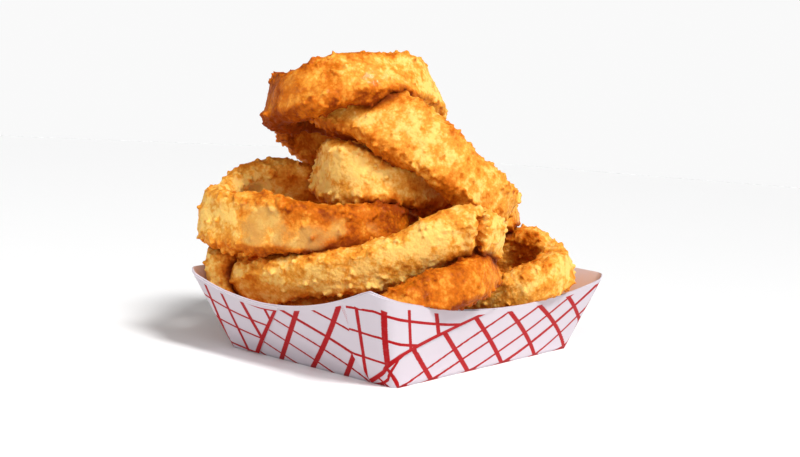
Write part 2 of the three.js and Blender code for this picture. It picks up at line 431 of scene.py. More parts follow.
# The same sheet round the corner, by places from the corner.
END_EAR_STEEP = Lines(low=(-0.172, -0.035, 0.11, 0.25, 0.4), high=(-0.085, 0.01, 0.09, 0.19, 0.3),
                      halves=(MEDIUM, THICK, MEDIUM, THICK, NONE))
END_EAR_SHALLOW = FlatLines(
    places=(-0.2, -0.03, 0.25), rises=[(0.37, 0.7, 0.98), (0.267, 0.54, 0.812), (0.25, 0.48, 0.787)],
    halves=[THIN] * 3)
# The print on a long wall and on its ear round the next corner.
SIDE_STEEP = Lines(
    low=(-0.07, 0.054, 0.204, 0.382, 0.563, 0.755, 0.945, 1.069, 1.2),
    high=(-0.5, -0.41, 0.013, 0.167, 0.334, 0.487, 0.621, 0.764, 0.92),
    halves=(THIN, MEDIUM, THICK, THICK, THICK, THICK, THICK, THICK, THICK))
SIDE_SHALLOW = Lines(
    low=(-0.12, 0.063, 0.19, 0.38, 0.555, 0.74, 0.898, 1.06),
    high=(0.3, 0.54, 0.68, 0.83, 0.955, 1.05, 1.25, 1.4),
    halves=(THIN, THIN, THIN, THIN, MEDIUM, THIN, THIN, THIN), curve=0.8)
SIDE_EAR_STEEP = Lines(low=(-0.08, 0.04, 0.154, 0.302, 0.425), high=(-0.02, 0.113, 0.205, 0.316, 0.442),
                       halves=(MEDIUM, MEDIUM, MEDIUM, THICK, MEDIUM))
SIDE_EAR_SHALLOW = FlatLines(
    places=(0.02, 0.41), rises=[(-0.2, 0.1, 0.45, 0.75, 1.08), (-0.38, -0.06, 0.29, 0.62, 0.93)],
    halves=[THIN] * 5)


def print_values(tray, place, rise, wall, steep, shallow, edge):
    """What the tray's material needs to draw the print: for each family, the line number and the number of
    half widths that go into one step of it, the distance below the rim and the distance from a free edge."""
    step = 1e-4
    local = place - wall
    along, up = wall_slopes(tray, place, rise)
    along_square, up_square, mixed = (along**2).sum(-1), (up**2).sum(-1), (along * up).sum(-1)
    values = []
    for lines in (steep, shallow):
        number = lines.count(local, rise)
        by_place = (lines.count(local + step, rise) - number) / step
        by_rise = (number - lines.count(local, np.maximum(rise - step, 0))) / step
        by_rise = np.where(rise > step, by_rise, (lines.count(local, rise + step) - number) / step)
        square = up_square * by_place**2 - 2 * mixed * by_place * by_rise + along_square * by_rise**2
        steepness = np.sqrt(square / (along_square * up_square - mixed**2))
        values += [number, 1 / (steepness * lines.half(number))]
    below = np.linalg.norm(up, axis=-1) * (1 - rise)
    return values + [below, np.broadcast_to(edge, rise.shape)]


def grid_faces(rows, columns, wrapped):
    """Quads over a grid of points that are numbered row by row, turned outward where rows rise."""
    wide = columns if wrapped else columns - 1
    row, column = np.meshgrid(np.arange(rows - 1), np.arange(wide), indexing="ij")
    here = row * columns + column
    beside = row * columns + (column + 1) % columns
    return np.stack([here, beside, beside + columns, here + columns], -1).reshape(-1, 4)


def spaced(low, high, gap):
    """Even numbers from low to high, about the gap apart."""
    return np.linspace(low, high, max(2, round((high - low) / gap) + 1))


def ripple(tray, place, rise):
    """How far the board waves out, the same for all its sheets so that they stay together."""
    wave = SpaceNoise(WAVES_SEED)
    points = on_wall(tray, place, rise).reshape(-1, 3)
    height = wave(points, *LONG_WAVES) + wave(points, *SHORT_WAVES) * SHORT_WAVES_SHARE
    return tray.ripple * height.reshape(place.shape) * rise


class Sheets:
    """Collects the tray's surfaces, with what their print needs, into one mesh."""

    NAMES = ("steep", "steep_scale", "shallow", "shallow_scale", "below_rim", "to_edge", "printed", "soaked_and_bounce_lit")
    BELOW_RIM = NAMES.index("below_rim")
    BLANK = (0.5, 9, 0.5, 9, 0, 1)  # for the first six: between two lines, at the rim and far from an edge

    def __init__(self):
        self.points = []
        self.faces = []
        self.values = []
        self.count = 0

    def add(self, points, faces, values, printed, soaked_and_bounce_lit=0.0):
        """Adds a surface, with its faces numbered from its own first point."""
        flat = points.reshape(-1, 3)
        columns = [np.broadcast_to(value, points.shape[:-1]).ravel() for value in (*values, printed, soaked_and_bounce_lit)]
        self.points.append(flat)
        self.values.append(np.stack(columns, -1))
        self.faces += (faces + self.count).tolist()
        self.count += len(flat)

    def close(self, loop):
        """Adds one flat face over points that are already there."""
        self.faces.append(loop)

    def mesh(self, name):
        mesh = bpy.data.meshes.new(name)
        mesh.from_pydata(np.concatenate(self.points).tolist(), [], self.faces)
        values = np.concatenate(self.values)
        for index, attribute in enumerate(self.NAMES):
            write_value(mesh, attribute, values[:, index])
        return mesh


def add_shell(tray, sheets):
    """The walls with their rounded cut rim, the floor and the underside."""
    arc = spaced(0, CORNER_SHARE, CORNER_SHARE / BEND_STEPS)[:-1]
    straight = spaced(CORNER_SHARE, 1 - CORNER_SHARE, WALL_STEP)
    one_wall = np.concatenate([arc, straight, 1 - arc[::-1][:-1]])
    places = np.concatenate([wall + one_wall for wall in range(4)])
    rises = spaced(0, 1, RISE_STEP)
    place, rise = np.meshgrid(places, rises)
    wave = ripple(tray, place, rise)
    outer = off_wall(tray, place, rise, wave)
    values = np.zeros((len(Sheets.BLANK), *place.shape))
    # The long walls' sheets reach round the front corner and the one across from it, under the ears, so the
    # fourth wall's last stretch belongs to the first wall's sheet.
    sheet = np.floor(place)
    sheet += (sheet % 2 == 1) & (place - sheet > 1 + EAR_FEET[0])
    for wall in range(5):
        here = sheet == wall
        families = (SIDE_STEEP, SIDE_SHALLOW) if wall % 2 == 0 else (END_STEEP, END_SHALLOW)
        values[:, here] = print_values(tray, place[here], rise[here], wall, *families, 1.0)
    sheets.add(outer, grid_faces(len(rises), len(places), wrapped=True), values, 1.0)

    inner = off_wall(tray, place, rise, wave - tray.board)
    inner[0, :, 2] = tray.board
    soaked_and_bounce_lit = smooth_step(*SOAKED_AND_BOUNCE_LIT, rise)
    first = sheets.count
    sheets.add(inner, grid_faces(len(rises), len(places), wrapped=True)[:, ::-1], Sheets.BLANK, 0.0, soaked_and_bounce_lit)

    rim = (outer[-1] + inner[-1]) / 2 + np.array([0, 0, RIM_ROUND])
    lip = np.stack([outer[-1], rim, inner[-1]])
    sheets.add(lip, grid_faces(3, len(places), wrapped=True), Sheets.BLANK, 0.0)
    sheets.close(list(range(first, first + len(places))))
    sheets.close(list(range(len(places)))[::-1])


EAR_LIFT = 0.55 * MM  # how far a glued ear stands off the wall under it
EAR_FOOT = 0.04 * MM  # and how far at its root, where it leaves the wall
EAR_SINK = 0.1 * MM  # how deep its border reaches into the wall
EAR_RISES = (0.02, 0.99)  # it runs from just over the base to just under the rim
EAR_ROW_STEP = 0.03  # gap of its grid's rows, in rises
EAR_COLUMN_STEP = 0.02  # and of its columns, as a share of its width
EAR_RAMP = 0.12  # it leaves the wall over this much of a wall's length
# The ears that wrap round the first and the third corner start at a slit in the end wall's sheet, which
# opens below this rise. The other two start in the bend of the corner.
SLIT_TOP = 0.33
SLIT = (-0.16, -0.2, -0.133)  # its places at rise 0, at its top and at the rim
BEND = (-0.035, -0.035, -0.035)
SLIT_SHUT, SLIT_OPEN = SLIT_TOP + 0.1, SLIT_TOP - 0.05  # the rises where it's shut and where it's open
SLIT_RAMP = 0.012  # where it's open, the ear leaves the wall over this much of a wall's length
PEAK_MARGIN = 4 * MM  # the unprinted strip is this much higher round the front corner
PEAK_BEFORE = (-0.13, -0.07)  # from the first of these places on, and in full from the second
PEAK_PAST = (0.1, 0.04)  # up to the first of these places, and in full up to the second
EDGE_SPREAD = 0.5  # the line along the free edge is this much wider at its foot than at the rim


def add_ear(tray, sheets, wall):
    """The end of one wall's sheet, wrapped round the corner and glued to the outside of the next wall."""
    foot = EAR_FEET[wall]
    on_side = wall % 2 == 0
    rises = spaced(*EAR_RISES, EAR_ROW_STEP)
    shares = spaced(0, 1, EAR_COLUMN_STEP)
    share, rise = np.meshgrid(shares, rises)
    root = np.interp(rise, (0, SLIT_TOP, 1), SLIT if on_side else BEND)
    free = foot + (EAR_REACHES[wall] - foot) * rise
    local = root + (free - root) * share
    open_slit = smooth_step(SLIT_SHUT, SLIT_OPEN, rise) * on_side
    steep_swell = open_slit * smooth_step(0, SLIT_RAMP, local - root)
    swell = np.maximum(smooth_step(0, EAR_RAMP, local - root), steep_swell)
    place = local + wall
    wave = ripple(tray, place, rise)
    face = off_wall(tray, place, rise, wave + EAR_FOOT + (EAR_LIFT - EAR_FOOT) * swell)
    along, up = (np.linalg.norm(slope, axis=-1) for slope in wall_slopes(tray, place, rise))
    # The free edge slants, so its distance is less than the way to it along the wall.
    slant = up / np.hypot(up, along * (EAR_REACHES[wall] - foot))
    to_edge = along * (free - local) * slant / (1 + EDGE_SPREAD * (1 - rise))
    families = (END_EAR_STEEP, END_EAR_SHALLOW) if on_side else (SIDE_EAR_STEEP, SIDE_EAR_SHALLOW)
    values = print_values(tray, place, rise, wall, *families, to_edge)
    if on_side:
        under_peak = smooth_step(*PEAK_BEFORE, local) * smooth_step(*PEAK_PAST, local)
        values[Sheets.BELOW_RIM] = values[Sheets.BELOW_RIM] - PEAK_MARGIN * under_peak
    sheets.add(face, grid_faces(len(rises), len(shares), wrapped=False), values, 1.0)

    rows, columns = len(rises), len(shares)
    grid = np.arange(rows * columns).reshape(rows, columns)
    loop = np.concatenate([grid[0, :-1], grid[:-1, -1], grid[-1, ::-1][:-1], grid[::-1, 0][:-1]])
    sunk = off_wall(tray, place, rise, wave - EAR_SINK).reshape(-1, 3)[loop]
    border = np.stack([sunk, face.reshape(-1, 3)[loop]])
    sheets.add(border, grid_faces(2, len(loop), wrapped=True), Sheets.BLANK, 0.0)


CLOUD = srgb(202, 192, 202)  # the board's cloudy grey parts
CLOUD_COVER = 0.25
WORN_AND_SHEEN = 0.02  # share of the ink that is missing in its specks: wear, and painted sheen of glare on the print
# Values of the noise between which the specks of worn ink and painted sheen end, and the clouds and the
# stains of fat begin.
SPECKS, CLOUDS, STAINS = (0.32, 0.5), (0.35, 0.7), (0.2, 0.7)
RAGGED = 0.3  # half widths that a stroke's edge strays
STROKE_EDGE = (0.85, 1.2)  # half widths from a line's middle between which its ink ends
EDGE_LINE = (1.2 * MM, 1.5 * MM)  # distances from an ear's free edge between which the line along it ends
MARGIN_EDGE = (-0.2 * MM, 0.1 * MM)  # the print fades in over this, counted from the margin
BOARD_ROUGH = 0.5  # roughness of the board, which fibres raise and ink lowers
FIBRES_ROUGH, INK_SMOOTH = 0.16, 0.1


def paper_material(tray):
    """White board with fine fibres, printed on the outside, and warm on the inside from soaked-in fat and
    from painted bounce light and shade from the rings.
    """
    paint = Paint("printed paperboard")
    fibres = paint.noise(0.5 * MM)
    # specks of paler ink: wear, and painted sheen standing for glare on the print
    worn_and_sheen = paint.noise(1.6 * MM).step(*SPECKS) * WORN_AND_SHEEN + (1 - WORN_AND_SHEEN)
    ragged = (paint.noise(0.7 * MM, detail=2.0, shift=3.0) - 0.5) * RAGGED

    def stroke(family):
        number = paint.value(family)
        off_line = abs(number - number.math("ROUND", number)) * paint.value(f"{family}_scale")
        return 1 - (off_line + ragged).step(*STROKE_EDGE)

    edge_line = 1 - paint.value("to_edge").step(*EDGE_LINE)
    lines = stroke("steep").at_least(stroke("shallow")).at_least(edge_line)
    below_margin = paint.value("below_rim").step(tray.margin + MARGIN_EDGE[0], tray.margin + MARGIN_EDGE[1])
    ink = lines * below_margin * paint.value("printed") * worn_and_sheen
    clouds = paint.noise(14 * MM, shift=1.0).step(*CLOUDS)
    board = paint.blend(clouds * CLOUD_COVER, tuple(tray.paper), CLOUD)
    stains = paint.noise(9 * MM, shift=2.0).step(*STAINS)
    # the inside's warm tint: fat stains, and painted bounce light and shade from the rings
    board = paint.blend(paint.value("soaked_and_bounce_lit") * (stains * 0.5 + 0.5), board, tuple(tray.grease_and_bounce_light))
    return paint.finish(
        Base_Color=paint.blend(ink, board, tuple(tray.ink)),
        Roughness=BOARD_ROUGH + fibres * FIBRES_ROUGH - ink * INK_SMOOTH,
        Normal=paint.bump(fibres, strength=0.25, distance=0.05 * MM),
        Specular_IOR_Level=0.15,
    )


class ONION_OT_tray(bpy.types.Operator):
    """Folds the printed paper tray"""

    bl_idname = "onion.tray"
    bl_label = "Paper Tray"

    def execute(self, context):
        tray = context.scene.onion_tray
        sheets = Sheets()
        add_shell(tray, sheets)
        for wall in range(4):
            add_ear(tray, sheets, wall)
        mesh = sheets.mesh("tray_board")
        mesh.materials.append(paper_material(tray))
        add_piece("tray_board", mesh, ["paper_tray"])
        return {"FINISHED"}


# ---- The rings ----
class CrustSettings(bpy.types.PropertyGroup):
    """Sizes and colours of the rings' fried batter."""

    core_step: length_setting("Core step", "Spacing of the points of the smoothed core", 1.4 * MM)
    skin_step: length_setting("Skin step", "Spacing of the points of the finished crust", 0.7 * MM)
    puff: length_setting("Puff", "How far the crust stands off the plain ring", 0.4 * MM)
    shoulder: length_setting("Shoulder", "How far a band's corners stand out", 0.7 * MM)
    swell: length_setting("Swell", "Height of the crust's widest lumps", 0.5 * MM)
    crags: length_setting("Crags", "Height of the crags at a ring's edges", 1.1 * MM)
    pebbles: length_setting("Pebbles", "Height of the crust's small bumps", 0.5 * MM)
    grain: length_setting("Grain", "Height of the crust's finest bumps", 0.22 * MM)
    crumbs: bpy.props.IntProperty(
        name="Crumbs", description="Crumbs on a ring for each 10 square centimetres", default=90)
    cream: colour_setting("Cream", "Colour of the palest batter", srgb(252, 201, 108))
    gold: colour_setting("Gold", "Colour of most of the batter", srgb(236, 158, 56))
    orange: colour_setting("Orange", "Colour of well fried batter", srgb(202, 104, 12))
    brown: colour_setting("Brown", "Colour of the darkest crust", srgb(142, 58, 4))
    # painted contact shade: the dark colour painted where rings touch, standing for the shadow between them
    contact_shade_colour: colour_setting("Contact", "Colour where rings touch and oil stays", srgb(104, 34, 2))
    milk: colour_setting("Milk", "Colour where the onion shows through thin batter", srgb(200, 150, 74))


# How each ring came out of the fryer, and the shade painted on it: browned_and_shaded = how dark it is, from
# its frying and partly painted shade, side_shade = painted shade, how much darker it is towards its right
# end than in its middle (its left end when negative), inside = painted shade, how much darker its inner face
# is, milky = how much smooth thin batter it has, rough = how craggy it is, fringed = how many crumbs hang on
# its edges, torn = where its crust is torn, in metres across the heap, and torn_depth = how deep.
PLAIN = {"browned_and_shaded": 0.5, "side_shade": 0.0, "inside": 0.3, "milky": 0.2, "rough": 1.0, "fringed": 1.0,
         "torn": 0.0, "torn_depth": 0.0}
LOOKS = {
    "ring_top": {"browned_and_shaded": 0.62, "side_shade": -0.6, "milky": 0.3, "rough": 0.8, "fringed": 0.5},
    "ring_leaning": {"browned_and_shaded": 0.38, "milky": 0.15, "rough": 0.9, "fringed": 1.3},
    "ring_middle": {"browned_and_shaded": 0.2, "side_shade": 0.4, "milky": 0.3, "rough": 0.8, "fringed": 1.8,
                    "torn": -46 * MM, "torn_depth": 0.4 * MM},
    "ring_left": {"browned_and_shaded": 0.7, "side_shade": 0.62, "inside": -0.4, "milky": 1.0, "rough": 0.8,
                  "fringed": 1.2},
    "ring_front": {"browned_and_shaded": -0.02, "rough": 1.1, "torn": 26 * MM, "torn_depth": 3.2 * MM},
    "ring_under_front": {"browned_and_shaded": 0.85, "milky": 0.1},
    "ring_corner_left": {"browned_and_shaded": -0.05, "milky": 0.1, "rough": 1.3, "fringed": 1.8},
    "ring_right": {"browned_and_shaded": 0.18, "milky": 0.3, "rough": 1.3, "fringed": 1.3},
    "ring_back_right": {"browned_and_shaded": 0.6, "milky": 0.1},
}
UNDERSIDE_SHADE = 0.4  # painted shade: how much darker the batter is where it faces down
TEAR_BROWNED = 0.7  # and in a tear
CONTACT_SHADE_REACH = 8 * MM  # painted contact shade: rings nearer than this are darkened towards where they touch
HIDDEN = ("ring_back_left_floor", "ring_back_floor", "ring_back_right")  # rings under the others
HIDDEN_STEP = 1.4  # the gaps between their points are this many times wider
FIRST_SEED, SEED_STEP = 300, 11  # every ring has its own seed
CORE_ROUNDS, SKIN_ROUNDS = 7, 1  # how often the core and the crust are smoothed
ROOM = 0.15 * MM  # between crust and board

# Where the noise shapes the crust: width of what it makes, and which part of the noise makes it.
SWELLS = (13 * MM, 0)
WIDE_CRAGS = (4 * MM, 0)
NARROW_CRAGS = (2.3 * MM, 20)
CLUSTERS = (9 * MM, 70)
WIDE_MILK = (15 * MM, 50)
NARROW_MILK = (5 * MM, 33)
PEBBLES = (2.4 * MM, 10)
GRAINS = (1.5 * MM, 90)
WIDE_RAGS = (5 * MM, 15)
NARROW_RAGS = (2 * MM, 25)

# Places on a band, from its middle to its edge, between which something begins and is there in full.
CORE_EDGE = (0.55, 0.95)
SKIN_EDGE = (0.6, 1.0)
SHOULDER_UP = (0.4, 0.9)
SHOULDER_OUT = (0.2, 0.8)
INNER_FACE = (0.0, 0.7)  # inwards
OUTER_FACE = (-0.3, 0.3)  # outwards
UNDERSIDE = (0.2, -0.7)  # the same for how far a point faces up


def remade(mesh, step, rounds):
    """The skin of a closed mesh made anew with even quads, then smoothed. The mesh itself is used up."""
    carrier = add_object("carrier", mesh)
    remesh = carrier.modifiers.new("remesh", "REMESH")
    remesh.mode = "VOXEL"
    remesh.voxel_size = step
    smooth = carrier.modifiers.new("smooth", "SMOOTH")
    smooth.factor = 0.5
    smooth.iterations = rounds
    graph = bpy.context.evaluated_depsgraph_get()
    result = bpy.data.meshes.new_from_object(carrier.evaluated_get(graph))
    bpy.data.objects.remove(carrier)
    bpy.data.meshes.remove(mesh)
    return result


class Band:
    """Where points lie on a ring's band: up from -1 at its lower edge to 1 at its upper one, and out from -1
    on its inner face to 1 on its outer one."""

    BINS = 60  # stretches round the ring
    SPREAD = (-2, -1, 0, 1, 2)  # each takes in its neighbours too, the nearer ones more
    FULLNESS = 0.6  # about the mean square over a section's outline, as a share of its half length squared

    def __init__(self, points):
        self.middle = points.mean(0)
        _, axes = np.linalg.eigh(np.cov((points - self.middle).T))
        axis = axes[:, 0] * (1 if axes[2, 0] >= 0 else -1)
        self.axes = np.stack([axes[:, 2], np.cross(axis, axes[:, 2]), axis], 1)
        angle, radius, height = self.split(points)
        place = np.floor((angle / TAU + 0.5) * self.BINS).astype(int) % self.BINS
        self.angles = ((np.arange(self.BINS) + 0.5) / self.BINS - 0.5) * TAU

        def around(values):
            sums = np.bincount(place, values, self.BINS)
            return sum(np.roll(sums, shift) * (3 - abs(shift)) for shift in self.SPREAD)

        count = around(np.ones(len(points)))
        self.radius = around(radius) / count
        self.height = around(height) / count
        angle, outward, upward = self.from_middle(points)
        across, mixed, high = (around(v) / count for v in (outward**2, outward * upward, upward**2))
        self.lean = np.arctan2(2 * mixed, high - across) / 2
        up, out = self.turn(outward, upward, angle)
        self.half_up = np.sqrt(around(up**2) / count / self.FULLNESS)
        self.half_out = np.sqrt(around(out**2) / count / self.FULLNESS)

    def split(self, points):
        """Each point's angle round the ring, its distance from the ring's axis and its height along it."""
        local = (points - self.middle) @ self.axes
        return np.arctan2(local[:, 1], local[:, 0]), np.hypot(local[:, 0], local[:, 1]), local[:, 2]

    def at(self, values, angle):
        """The values round the ring, read at the angles."""
        return np.interp(angle, self.angles, values, period=TAU)

    def turn(self, outward, upward, angle):
        """The two distances turned to the way that the band leans there."""
        lean = self.at(self.lean, angle)
        up = upward * np.cos(lean) + outward * np.sin(lean)
        out = outward * np.cos(lean) - upward * np.sin(lean)
        return up, out

    def from_middle(self, points):
        """Each point's angle, and how far outward and upward it lies from the middle line of the band."""
        angle, radius, height = self.split(points)
        return angle, radius - self.at(self.radius, angle), height - self.at(self.height, angle)

    def coordinates(self, points):
        """Where the points lie up and out on the band."""
        angle, outward, upward = self.from_middle(points)
        up, out = self.turn(outward, upward, angle)
        return up / self.at(self.half_up, angle), out / self.at(self.half_out, angle)


def keep_in_tray(tray, points):
    """Moves what would stand through the board back inside it."""
    x, y, z = points.T
    half_width, half_length = tray.base_width / 2, tray.base_length / 2
    room = tray.board + ROOM
    share_y = np.clip((y / (half_length + tray.flare_length) + 1) / 2, 0, 1)
    share_x = np.clip((x / (half_width + tray.flare_width) + 1) / 2, 0, 1)
    rim_x = rim_height(tray, np.where(x > 0, share_y, 3 - share_y))
    rim_y = rim_height(tray, np.where(y > 0, 2 - share_x, 3 + share_x * BEFORE_END))

    def limit(half, flare, share, rim):
        rise = np.clip(z / rim, 0, 1)
        return half + (flare + WALL_BOW * bulge(share)) * rise - room

    widest = limit(half_width, tray.flare_width, share_y, rim_x)
    longest = limit(half_length, tray.flare_length, share_x, rim_y)
    kept = points.copy()
    kept[:, 0] = np.where(z < rim_x, np.clip(x, -widest, widest), x)
    kept[:, 1] = np.where(z < rim_y, np.clip(y, -longest, longest), y)
    kept[:, 2] = np.maximum(z, room)
    return kept


def across_heap(points):
    """How far each point lies to the right of the heap's middle, seen from its front."""
    return points[:, 0] * math.cos(HEAP_TURN) + points[:, 1] * math.sin(HEAP_TURN)


def closeness(node, points):
    """How near each point is to another ring, from 0 at a distance to 1 where they touch, for the painted
    contact shade.
    """
    corners, faces = [], []
    for name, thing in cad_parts.items():
        if name.startswith("ring_") and name != node:
            faces += [[len(corners) + i for i in face.vertices] for face in thing.data.polygons]
            corners += [vertex.co.copy() for vertex in thing.data.vertices]
    others = BVHTree.FromPolygons(corners, faces)
    gaps = np.array([others.find_nearest(point, CONTACT_SHADE_REACH)[3] or CONTACT_SHADE_REACH for point in points.tolist()])
    return (1 - gaps / CONTACT_SHADE_REACH) ** 2


TEAR_WIDTH = 1.5 * MM  # half the width of a tear
TEAR_LIPS = (2.2, 0.4)  # the lips beside it: their distance in half widths, and their height by its depth
RAG_HEIGHTS = (1.6 * MM, 0.8 * MM)  # how far a tear strays from a straight line, in wide and in narrow rags
RAG_REACH = 3 * MM  # how far from a tear crumbs gather


def tear(look, points, noise):
    """How near each point is to the ring's tear, from 0 to 1, and how near to the lips beside it."""
    if look["torn_depth"] == 0:
        return np.zeros(len(points)), np.zeros(len(points))
    wide, narrow = RAG_HEIGHTS
    ragged = noise(points, *WIDE_RAGS) * wide + noise(points, *NARROW_RAGS) * narrow
    aside = (across_heap(points) - look["torn"] + ragged) / TEAR_WIDTH
    return np.exp(-(aside**2)), np.exp(-((np.abs(aside) - TEAR_LIPS[0]) ** 2))


NARROW_CRAGS_SHARE = 0.6  # height of the narrow crags as a share of the wide ones'
CRAG_LEVEL = 0.35  # crags over this rise, and hollows under it sink
CRAGS_OFF_EDGE = 0.4  # height of the crags off a band's edges, as a share of that on them


def puffed(points, normals, band, look, settings, noise):
    """The plain ring's points moved out to the lumps, shoulders and crags of its batter."""
    up, out = band.coordinates(points)
    edge = smooth_step(*CORE_EDGE, np.abs(up))
    shoulder = smooth_step(*SHOULDER_UP, np.abs(up)) * smooth_step(*SHOULDER_OUT, np.abs(out))
    craggy = abs(noise(points, *WIDE_CRAGS)) + NARROW_CRAGS_SHARE * abs(noise(points, *NARROW_CRAGS))
    on_edge = CRAGS_OFF_EDGE + (1 - CRAGS_OFF_EDGE) * edge
    push = settings.puff + settings.shoulder * shoulder + settings.swell * noise(points, *SWELLS)
    push += settings.crags * look["rough"] * (craggy - CRAG_LEVEL) * on_edge
    return points + normals * push[:, None], edge


CRUMB_AREA = 0.001  # ten square centimetres, in square metres
CRUMB_LEAST, CRUMB_MORE = 0.3, 0.85  # a crumb's least radius in millimetres, and how much more it can have
CRUMB_LIFT, CRUMB_LIFT_MORE = 0.2, 0.6  # the same for how far its middle stands out, in radii
CRUMB_STRETCH = 0.4  # how far it's stretched or squeezed along each of its axes, times a normal draw
CRUMB_DRAWS = (-1, 1.2)  # which is kept between these
CLUSTERED = (-0.1, 0.5)  # values of the noise between which a cluster of crumbs begins and is full
LOOSE_CRUMBS = 0.25  # how likely crumbs are on an edge outside of clusters, next to inside
FACE_CRUMBS = 0.06  # and on a rough ring's faces


def crumb_ball():
    """Points and triangles of a plain ball with radius 1."""
    ball = bmesh.new()
    bmesh.ops.create_icosphere(ball, subdivisions=2, radius=1.0)
    points = np.array([vertex.co for vertex in ball.verts])
    faces = np.array([[vertex.index for vertex in face.verts] for face in ball.faces])
    ball.free()
    return points, faces


def scatter_crumbs(draw, points, normals, weight, count):
    """Crumbs of about 0.6 to 2.3 mm, each a stretched ball that is partly sunk into the crust."""
    ball, faces = crumb_ball()
    chosen = draw.choice(len(points), count, p=weight / weight.sum())
    sizes = (CRUMB_LEAST + CRUMB_MORE * draw.random(count) ** 2) * MM
    turns, _ = np.linalg.qr(draw.normal(size=(count, 3, 3)))
    stretch = sizes[:, None] * (1 + CRUMB_STRETCH * draw.normal(size=(count, 3)).clip(*CRUMB_DRAWS))
    lift = sizes * (CRUMB_LIFT + CRUMB_LIFT_MORE * draw.random(count))
    centres = points[chosen] + normals[chosen] * lift[:, None]
    placed = (ball[None] * stretch[:, None]) @ turns + centres[:, None]
    numbers = faces[None] + (np.arange(count) * len(ball))[:, None, None]
    return placed.reshape(-1, 3), numbers.reshape(-1, 3)


def with_crumbs(core, points, normals, edge, look, settings, noise, draw):
    """One mesh of the core, at its new points, and of the crumbs that hang on it."""
    clusters = smooth_step(*CLUSTERED, noise(points, *CLUSTERS))
    from_tear = (across_heap(points) - look["torn"]) / RAG_REACH
    lips = np.exp(-(from_tear**2)) * (look["torn_depth"] > 0)
    weight = edge * look["fringed"] * (LOOSE_CRUMBS + clusters) + FACE_CRUMBS * look["rough"] + lips
    area = len(points) * settings.core_step**2
    count = round(settings.crumbs * area / CRUMB_AREA * (1 + look["fringed"]) / 2)
    crumbs, crumb_faces = scatter_crumbs(draw, points, normals, weight, count)
    quads = np.empty(len(core.loops), np.int32)
    core.loops.foreach_get("vertex_index", quads)
    faces = quads.reshape(-1, 4).tolist() + (crumb_faces + len(points)).tolist()
    joined = bpy.data.meshes.new("joined")
    joined.from_pydata(np.concatenate([points, crumbs]).tolist(), [], faces)
    return joined


MILKY_NOISE = (-0.1, 0.7)  # values of the noise between which a patch of thin batter begins and is full
NARROW_MILK_SHARE = 0.35
BUMP_LEVEL = 0.3  # bumps over this rise, and hollows under it sink
SMOOTH_PEBBLES, SMOOTH_GRAINS = 0.75, 0.5  # how much lower they are where the batter is thin
GRAINS_CREST = 0.7  # how much the grains count as crests, next to the pebbles


def finish_skin(node, skin, band, look, settings, tray, noise):
    """Gives the crust its small bumps and its tear, and keeps what its material needs for each point."""
    points, normals = read_points(skin), read_normals(skin)
    up, out = band.coordinates(points)
    edge = smooth_step(*SKIN_EDGE, np.abs(up))
    milk = noise(points, *WIDE_MILK) + NARROW_MILK_SHARE * noise(points, *NARROW_MILK)
    milk = smooth_step(*MILKY_NOISE, milk) * ((1 - edge) * look["milky"])
    pebbles = abs(noise(points, *PEBBLES)) - BUMP_LEVEL
    grains = abs(noise(points, *GRAINS)) - BUMP_LEVEL
    height = settings.pebbles * pebbles * (1 - SMOOTH_PEBBLES * milk) * look["rough"]
    height += settings.grain * grains * (1 - SMOOTH_GRAINS * milk)
    torn, lips = tear(look, points, noise)
    outer = smooth_step(*OUTER_FACE, out)
    height -= look["torn_depth"] * outer * (torn - TEAR_LIPS[1] * lips)
    write_points(skin, keep_in_tray(tray, points + normals * height[:, None]))

    across = across_heap(points)
    middle = (across.max() + across.min()) / 2
    side = (across - middle) / (across.max() - middle)
    # how dark the batter is: browning from frying, with painted shade towards one end of the ring and on its
    # inner face
    browned_and_shaded = look["browned_and_shaded"] + look["side_shade"] * side + look["inside"] * smooth_step(*INNER_FACE, -out)
    # painted shade where the batter faces down
    browned_and_shaded += UNDERSIDE_SHADE * smooth_step(*UNDERSIDE, normals[:, 2]) + TEAR_BROWNED * torn * outer
    write_value(skin, "edge", edge)
    write_value(skin, "milky", milk * (1 - torn * outer))
    # height of the bumps; the material darkens what lies low between them, as painted shade
    write_value(skin, "crest", pebbles + GRAINS_CREST * grains)
    # how near the other rings are, which the material paints as contact shade
    write_value(skin, "close", closeness(node, points))
    write_value(skin, "browned_and_shaded", browned_and_shaded)


def crust_mesh(node, settings, tray, seed):
    """One ring's crust: the plain ring swollen into batter, with its crumbs and its fine relief."""
    look = PLAIN | LOOKS.get(node, {})
    draw = np.random.default_rng(seed)
    noise = SpaceNoise(seed)
    core = remade(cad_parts[node].data.copy(), settings.core_step, CORE_ROUNDS)
    points, normals = read_points(core), read_normals(core)
    band = Band(points)
    points, edge = puffed(points, normals, band, look, settings, noise)
    joined = with_crumbs(core, points, normals, edge, look, settings, noise, draw)
    skin = remade(joined, settings.skin_step * (HIDDEN_STEP if node in HIDDEN else 1), SKIN_ROUNDS)
    finish_skin(node, skin, band, look, settings, tray, noise)
    return skin


# How much each cause adds to how done the batter looks, which is 0 for cream and 1.8 for brown. Close adds
# painted contact shade where rings touch, and crest, being negative, paints shade in the hollows between
# bumps.
CAUSES = {"blotches": 2.1, "patches": 1.1, "edge": 0.25, "crest": -0.3, "milky": -0.35, "seams": 0.35,
          "fine": 0.4, "close": 0.9}
